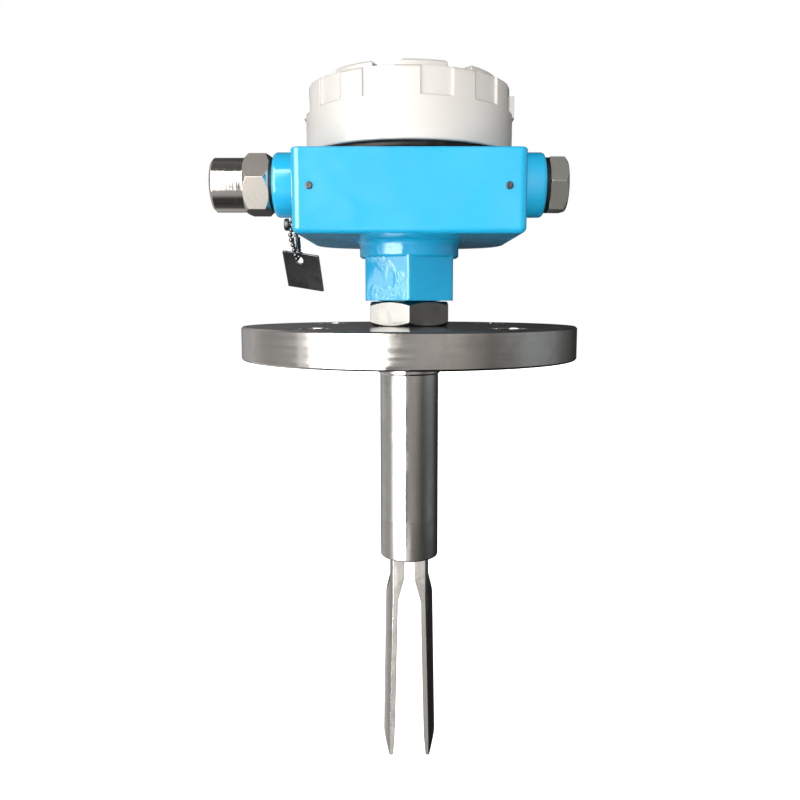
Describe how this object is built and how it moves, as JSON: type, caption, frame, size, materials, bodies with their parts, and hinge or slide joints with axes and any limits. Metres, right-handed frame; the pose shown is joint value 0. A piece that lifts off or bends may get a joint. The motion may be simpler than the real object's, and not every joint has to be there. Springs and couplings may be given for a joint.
{
  "type": "tuning fork level switch",
  "caption": "Flanged vibrating fork point level switch: two-tined probe on a tube, cast housing with screwed cover, cable entry, blind plug and hanging tag.",
  "frame": {"origin": "centre of the flange's sealing face, on the probe's axis", "axes": "+Z along the probe's axis from the fork to the housing, +X towards the blind plug, -Y towards the front pad"},
  "size_m": [0.178, 0.165, 0.3404],
  "materials": {
    "fork_steel": "satin stainless steel",
    "tube_steel": "polished stainless steel",
    "flange_steel": "turned stainless steel",
    "hex_steel": "turned and milled stainless steel",
    "conduit_steel": "turned stainless steel",
    "plug_steel": "plated steel",
    "screw_steel": "plain steel",
    "chain_steel": "bright nickel plate",
    "tag_steel": "dark grey sheet",
    "blue_paint": "glossy blue powder coat on cast aluminium",
    "white_paint": "glossy white powder coat on cast aluminium",
    "black_rubber": "smooth rubber",
    "ceramic": "fired ceramic",
    "brass": "plain brass",
    "pale_plastic": "moulded",
    "dark_plastic": "moulded",
    "wire_jacket": "extruded",
    "board_green": "solder mask",
    "terminal_green": "moulded",
    "relay_plastic": "moulded",
    "capacitor_sleeve": "shrunk sleeve",
    "dial_blue": "moulded",
    "green_lens": "clear lens",
    "red_lens": "clear lens"
  },
  "bodies": {
    "root": {"tuning_fork": "fork_steel", "probe_tube": "tube_steel", "flange": "flange_steel", "stem_adapter": "hex_steel", "neck_o_ring": "black_rubber", "piezo_discs": "ceramic", "electrode_plates": "brass", "insulating_washers": "ceramic", "insulating_sleeve": "pale_plastic", "pressure_plate": "hex_steel", "clamp_bolt": "hex_steel", "signal_wires": "wire_jacket", "wire_bush": "black_rubber", "housing": "blue_paint", "nameplate_screws": "screw_steel", "conduit_adapter": "conduit_steel", "conduit_washer": "black_rubber", "ground_screw": "screw_steel", "ground_washer": "screw_steel", "electronics_case": "dark_plastic", "circuit_board": "board_green", "terminal_block": "terminal_green", "terminal_clamps": "brass", "terminal_screws": "screw_steel", "relay": "relay_plastic", "capacitor": "capacitor_sleeve", "sensor_connector": "pale_plastic", "mode_switch": "dark_plastic", "sensitivity_dial": "dial_blue", "power_lamp": "green_lens", "alarm_lamp": "red_lens", "module_screws": "screw_steel", "inner_ground_screw": "brass", "inner_ground_washer": "brass"},
    "cover_seal": {"cover_o_ring": "black_rubber"},
    "cover": {"cover": "white_paint"},
    "plug_washer": {"plug_washer": "black_rubber"},
    "blind_plug": {"blind_plug": "plug_steel"},
    "tag_chain": {"tag_chain": "chain_steel", "chain_connector": "chain_steel"},
    "tag_plate": {"tag_plate": "tag_steel"},
    "mode_slider": {"mode_slider": "pale_plastic"},
    "dial_rotor": {"dial_rotor": "brass"}
  },
  "joints": [
    {"name": "cover_turn", "type": "hinge", "parent": "root", "child": "cover_seal", "pos_m": [0, 0, 0.09705], "axis": [0, 0, 1], "range_deg": [0, 1800]},
    {"name": "cover_lift", "type": "slide", "parent": "cover_seal", "child": "cover", "axis": [0, 0, 1], "range_m": [0, 0.01]},
    {"name": "plug_out", "type": "slide", "parent": "root", "child": "plug_washer", "axis": [1, 0, 0], "range_m": [0, 0.012]},
    {"name": "plug_turn", "type": "hinge", "parent": "plug_washer", "child": "blind_plug", "pos_m": [0.0655, 0, 0.0865], "axis": [1, 0, 0], "range_deg": [0, 2880]},
    {"name": "chain_swing", "type": "hinge", "parent": "root", "child": "tag_chain", "pos_m": [-0.0534, -0.026, 0.0652], "axis": [1, 0, 0], "range_deg": [-25, 25]},
    {"name": "tag_swing", "type": "hinge", "parent": "tag_chain", "child": "tag_plate", "pos_m": [-0.051, -0.025, 0.0494], "axis": [0.3665, 0.7788, 0.509], "range_deg": [-20, 20]},
    {"name": "mode_slide", "type": "slide", "parent": "root", "child": "mode_slider", "axis": [1, 0, 0], "range_m": [0, 0.0044]},
    {"name": "dial_turn", "type": "hinge", "parent": "root", "child": "dial_rotor", "pos_m": [-0.015, 0.014, 0.083], "axis": [0, 0, 1], "range_deg": [-135, 135]}
  ],
  "couplings": [
    {"joint": "cover_turn", "follows": "cover_lift", "rad_per_m": 3141.6},
    {"joint": "plug_turn", "follows": "plug_out", "rad_per_m": 4188.8}
  ]
}
